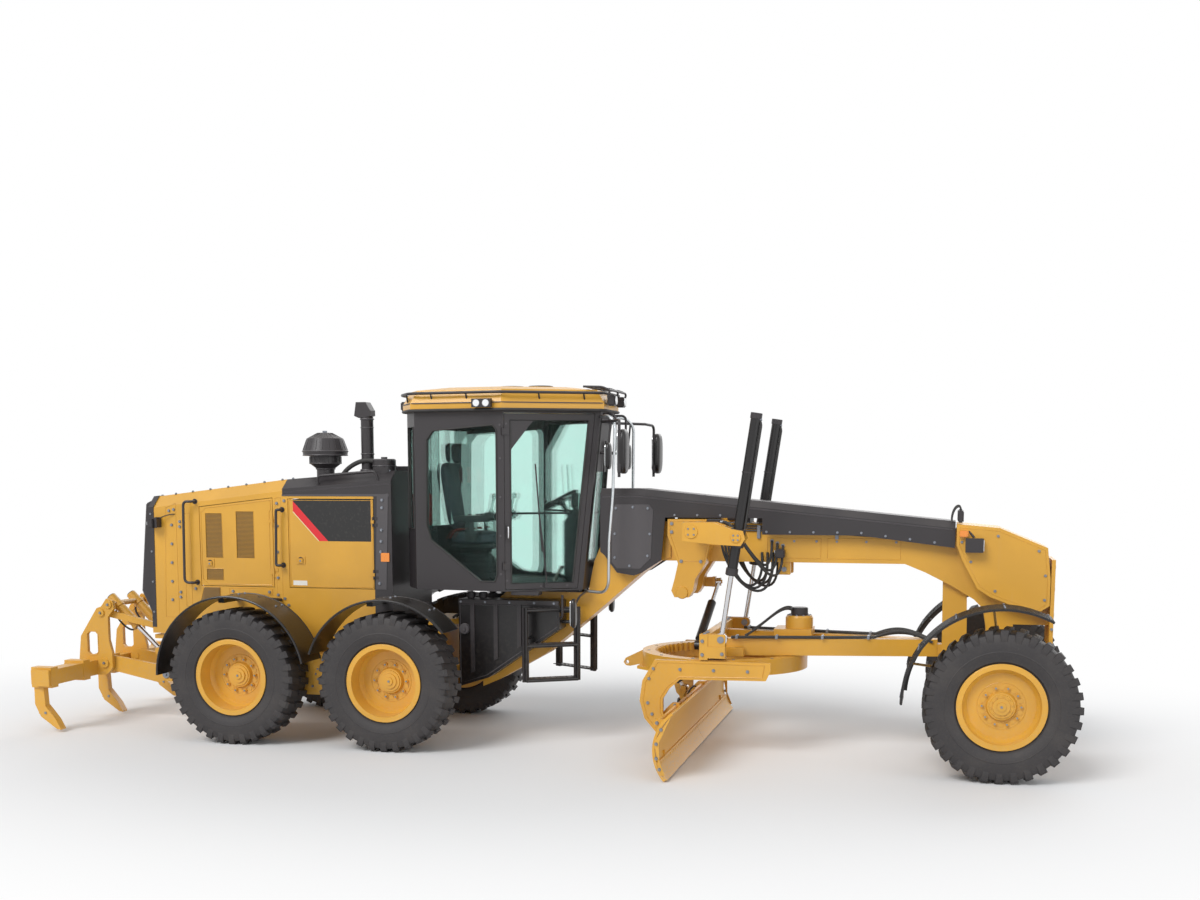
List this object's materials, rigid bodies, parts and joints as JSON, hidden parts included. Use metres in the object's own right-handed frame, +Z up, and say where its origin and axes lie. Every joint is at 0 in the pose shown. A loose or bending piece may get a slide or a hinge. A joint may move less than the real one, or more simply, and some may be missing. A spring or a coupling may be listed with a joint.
{
  "type": "motor grader",
  "caption": "Six-wheeled motor grader with a hinged frame, cab, a centre blade on a turning circle, and a rear ripper.",
  "frame": {"origin": "on the ground under the middle of the machine's overall length, on its centre line", "axes": "+X forward, +Y to the machine's left, +Z up"},
  "size_m": [9.73, 3.66, 3.3218],
  "materials": {
    "yellow_paint": "semi-gloss",
    "black_paint": "satin",
    "plate_steel": "worn",
    "chrome_rod": "polished",
    "engine_iron": "matt",
    "trim_plastic": "matt",
    "tinted_glass": "clear",
    "tyre_rubber": "matt"
  },
  "bodies": {
    "rear": {"rear_frame": "yellow_paint", "engine_block": "engine_iron", "hood": "yellow_paint", "engine_cowl": "black_paint", "rear_grille": "black_paint", "tandem_cases": "yellow_paint", "rear_fenders": "black_paint"},
    "front": {"front_frame": "yellow_paint", "frame_cover": "black_paint", "nose_cover": "yellow_paint", "lift_saddle": "yellow_paint", "front_axle": "yellow_paint", "cab_frame": "black_paint", "cab_roof": "yellow_paint", "cab_glass": "tinted_glass", "cab_interior": "trim_plastic", "side_tanks": "black_paint", "lamps_and_mirrors": "black_paint"},
    "cab_door_right": {"cab_door_right": "black_paint", "door_glass_right": "tinted_glass"},
    "cab_door_left": {"cab_door_left": "black_paint", "door_glass_left": "tinted_glass"},
    "service_door_rear_right": {"service_door_rear_right": "yellow_paint"},
    "service_door_rear_left": {"service_door_rear_left": "yellow_paint"},
    "service_door_front_right": {"service_door_front_right": "yellow_paint"},
    "service_door_front_left": {"service_door_front_left": "yellow_paint"},
    "ripper_arms": {"ripper_arms": "yellow_paint"},
    "ripper_beam": {"ripper_beam": "yellow_paint"},
    "ripper_links": {"ripper_links": "yellow_paint"},
    "ripper_barrels": {"ripper_barrels": "yellow_paint"},
    "ripper_rods": {"ripper_rods": "chrome_rod"},
    "kingpost_right": {"kingpost_right": "yellow_paint"},
    "kingpost_left": {"kingpost_left": "yellow_paint"},
    "knuckle_right": {"knuckle_right": "yellow_paint"},
    "knuckle_left": {"knuckle_left": "yellow_paint"},
    "lean_bar": {"lean_bar": "yellow_paint"},
    "tie_rod_end": {"tie_rod_end": "yellow_paint"},
    "tie_rod": {"tie_rod": "yellow_paint"},
    "drawbar": {"drawbar": "yellow_paint"},
    "circle": {"circle": "yellow_paint"},
    "blade_bracket": {"blade_bracket": "yellow_paint"},
    "moldboard": {"moldboard": "plate_steel"},
    "lift_barrels": {"lift_barrels": "black_paint"},
    "lift_rods": {"lift_rods": "chrome_rod"},
    "shift_barrel": {"shift_barrel": "black_paint"},
    "shift_rod": {"shift_rod": "chrome_rod"},
    "tip_barrel": {"tip_barrel": "black_paint"},
    "tip_rod": {"tip_rod": "chrome_rod"},
    "wheel_rear_right": {"tyre_rear_right": "tyre_rubber", "rim_rear_right": "yellow_paint"},
    "wheel_rear_left": {"tyre_rear_left": "tyre_rubber", "rim_rear_left": "yellow_paint"},
    "wheel_mid_right": {"tyre_mid_right": "tyre_rubber", "rim_mid_right": "yellow_paint"},
    "wheel_mid_left": {"tyre_mid_left": "tyre_rubber", "rim_mid_left": "yellow_paint"},
    "wheel_front_right": {"tyre_front_right": "tyre_rubber", "rim_front_right": "yellow_paint"},
    "wheel_front_left": {"tyre_front_left": "tyre_rubber", "rim_front_left": "yellow_paint"}
  },
  "joints": [
    {"name": "service_door_rear_right_hinge", "type": "hinge", "parent": "rear", "child": "service_door_rear_right", "pos_m": [-2.537, -0.5295, 1.85], "axis": [0, 0, 1], "range_deg": [0, 100]},
    {"name": "service_door_rear_left_hinge", "type": "hinge", "parent": "rear", "child": "service_door_rear_left", "pos_m": [-2.537, 0.5295, 1.85], "axis": [0, 0, -1], "range_deg": [0, 100]},
    {"name": "service_door_front_right_hinge", "type": "hinge", "parent": "rear", "child": "service_door_front_right", "pos_m": [-1.493, -0.5295, 1.85], "axis": [0, 0, 1], "range_deg": [0, 100]},
    {"name": "service_door_front_left_hinge", "type": "hinge", "parent": "rear", "child": "service_door_front_left", "pos_m": [-1.493, 0.5295, 1.85], "axis": [0, 0, -1], "range_deg": [0, 100]},
    {"name": "ripper_lift", "type": "hinge", "parent": "rear", "child": "ripper_arms", "pos_m": [-3.87, 0, 0.492], "axis": [0, 1, 0], "range_deg": [0, 34]},
    {"name": "ripper_beam_pivot", "type": "hinge", "parent": "ripper_arms", "child": "ripper_beam", "pos_m": [-4.565, 0, 0.588], "axis": [0, 1, 0], "range_deg": [-34.1, 0.1]},
    {"name": "ripper_link_pivot", "type": "hinge", "parent": "rear", "child": "ripper_links", "pos_m": [-3.89, 0, 1.009], "axis": [0, 1, 0], "range_deg": [-0.1, 34.1]},
    {"name": "ripper_cylinder_swing", "type": "hinge", "parent": "ripper_beam", "child": "ripper_barrels", "pos_m": [-4.495, 0, 1.19], "axis": [0, 1, 0], "range_deg": [-0.1, 25.8]},
    {"name": "ripper_rod_stroke", "type": "slide", "parent": "ripper_barrels", "child": "ripper_rods", "axis": [0.7144, 0, -0.6998], "range_m": [-0.001, 0.224]},
    {"name": "wheel_rear_right_spin", "type": "hinge", "parent": "rear", "child": "wheel_rear_right", "pos_m": [-2.6515, -1.063, 0.632], "axis": [0, 1, 0], "continuous": true},
    {"name": "wheel_mid_right_spin", "type": "hinge", "parent": "rear", "child": "wheel_mid_right", "pos_m": [-1.1285, -1.063, 0.632], "axis": [0, 1, 0], "continuous": true},
    {"name": "wheel_front_right_spin", "type": "hinge", "parent": "knuckle_right", "child": "wheel_front_right", "pos_m": [4.233, -1.063, 0.632], "axis": [0, 1, 0], "continuous": true},
    {"name": "wheel_rear_left_spin", "type": "hinge", "parent": "rear", "child": "wheel_rear_left", "pos_m": [-2.6515, 1.063, 0.632], "axis": [0, 1, 0], "continuous": true},
    {"name": "wheel_mid_left_spin", "type": "hinge", "parent": "rear", "child": "wheel_mid_left", "pos_m": [-1.1285, 1.063, 0.632], "axis": [0, 1, 0], "continuous": true},
    {"name": "wheel_front_left_spin", "type": "hinge", "parent": "knuckle_left", "child": "wheel_front_left", "pos_m": [4.233, 1.063, 0.632], "axis": [0, 1, 0], "continuous": true},
    {"name": "articulation", "type": "hinge", "parent": "rear", "child": "front", "pos_m": [-0.69, 0, 0.87], "axis": [0, 0, 1], "range_deg": [-20, 20]},
    {"name": "cab_door_right_hinge", "type": "hinge", "parent": "front", "child": "cab_door_right", "pos_m": [-0.145, -0.7, 2.26], "axis": [0, 0, -1], "range_deg": [0, 85]},
    {"name": "cab_door_left_hinge", "type": "hinge", "parent": "front", "child": "cab_door_left", "pos_m": [-0.145, 0.7, 2.26], "axis": [0, 0, 1], "range_deg": [0, 85]},
    {"name": "wheel_lean", "type": "hinge", "parent": "front", "child": "kingpost_left", "pos_m": [4.233, 0.78, 0.632], "axis": [1, 0, 0], "range_deg": [-18, 18]},
    {"name": "wheel_lean_right", "type": "hinge", "parent": "front", "child": "kingpost_right", "pos_m": [4.233, -0.78, 0.632], "axis": [1, 0, 0], "range_deg": [-18.1, 18.1]},
    {"name": "lean_bar_pin", "type": "hinge", "parent": "kingpost_left", "child": "lean_bar", "pos_m": [4.299, 0.78, 0.962], "axis": [1, 0, 0], "range_deg": [-18.1, 18.1]},
    {"name": "steering", "type": "hinge", "parent": "kingpost_left", "child": "knuckle_left", "pos_m": [4.233, 0.78, 0.632], "axis": [0, 0, 1], "range_deg": [-47.5, 47.5]},
    {"name": "steering_right", "type": "hinge", "parent": "kingpost_right", "child": "knuckle_right", "pos_m": [4.233, -0.78, 0.632], "axis": [0, 0, 1], "range_deg": [-47.6, 47.6]},
    {"name": "tie_rod_turn", "type": "hinge", "parent": "knuckle_left", "child": "tie_rod_end", "pos_m": [4.013, 0.78, 0.85], "axis": [0, 0, 1], "range_deg": [-47.6, 47.6]},
    {"name": "tie_rod_tilt", "type": "hinge", "parent": "tie_rod_end", "child": "tie_rod", "pos_m": [4.013, 0.78, 0.85], "axis": [1, 0, 0], "range_deg": [-18.1, 18.1]},
    {"name": "blade_lift", "type": "hinge", "parent": "front", "child": "drawbar", "pos_m": [3.821, 0, 0.939], "axis": [0, 1, 0], "range_deg": [0, 12]},
    {"name": "lift_cylinder_swing", "type": "hinge", "parent": "front", "child": "lift_barrels", "pos_m": [2, 0, 1.962], "axis": [0, 1, 0], "range_deg": [-1.1, 0.1]},
    {"name": "lift_rod_stroke", "type": "slide", "parent": "lift_barrels", "child": "lift_rods", "axis": [-0.1434, 0, -0.9897], "range_m": [-0.41, 0.001]},
    {"name": "shift_cylinder_swing", "type": "hinge", "parent": "front", "child": "shift_rod", "pos_m": [1.67, 0.35, 1.488], "axis": [1, 0, 0], "range_deg": [-32, 0.1]},
    {"name": "shift_cylinder_stroke", "type": "slide", "parent": "shift_rod", "child": "shift_barrel", "axis": [-0.0907, -0.794, -0.6011], "range_m": [-0.183, 0.001]},
    {"name": "circle_turn", "type": "hinge", "parent": "drawbar", "child": "circle", "pos_m": [1.787, 0, 0.809], "axis": [0, 0, -1], "continuous": true},
    {"name": "blade_tip", "type": "hinge", "parent": "circle", "child": "blade_bracket", "pos_m": [1.35, 0, 0.262], "axis": [0, 1, 0], "range_deg": [-5, 40]},
    {"name": "tip_cylinder_swing", "type": "hinge", "parent": "circle", "child": "tip_barrel", "pos_m": [1.23, 0, 0.76], "axis": [0, 1, 0], "range_deg": [-9.1, 1.3]},
    {"name": "tip_rod_stroke", "type": "slide", "parent": "tip_barrel", "child": "tip_rod", "axis": [0.5692, 0, -0.8222], "range_m": [-0.021, 0.158]},
    {"name": "blade_side_shift", "type": "slide", "parent": "blade_bracket", "child": "moldboard", "axis": [0, -1, 0], "range_m": [-0.51, 0.66]}
  ],
  "couplings": [
    {"joint": "ripper_beam_pivot", "follows": "ripper_lift", "ratio": -1},
    {"joint": "ripper_link_pivot", "follows": "ripper_lift", "ratio": 1},
    {"joint": "ripper_cylinder_swing", "follows": "ripper_lift", "ratio": 0.7555},
    {"joint": "ripper_rod_stroke", "follows": "ripper_lift", "m_per_rad": 0.3762},
    {"joint": "wheel_mid_right_spin", "follows": "wheel_rear_right_spin", "ratio": 1},
    {"joint": "wheel_mid_left_spin", "follows": "wheel_rear_left_spin", "ratio": 1},
    {"joint": "wheel_lean_right", "follows": "wheel_lean", "ratio": 1},
    {"joint": "lean_bar_pin", "follows": "wheel_lean", "ratio": -1},
    {"joint": "steering_right", "follows": "steering", "ratio": 1},
    {"joint": "tie_rod_turn", "follows": "steering", "ratio": -1},
    {"joint": "tie_rod_tilt", "follows": "wheel_lean", "ratio": -1},
    {"joint": "lift_cylinder_swing", "follows": "blade_lift", "ratio": -0.0793},
    {"joint": "lift_rod_stroke", "follows": "blade_lift", "m_per_rad": -1.9504},
    {"joint": "shift_cylinder_swing", "follows": "blade_lift", "ratio": -2.6416},
    {"joint": "shift_cylinder_stroke", "follows": "blade_lift", "m_per_rad": -0.8667},
    {"joint": "tip_cylinder_swing", "follows": "blade_tip", "ratio": -0.224},
    {"joint": "tip_rod_stroke", "follows": "blade_tip", "m_per_rad": 0.224}
  ]
}
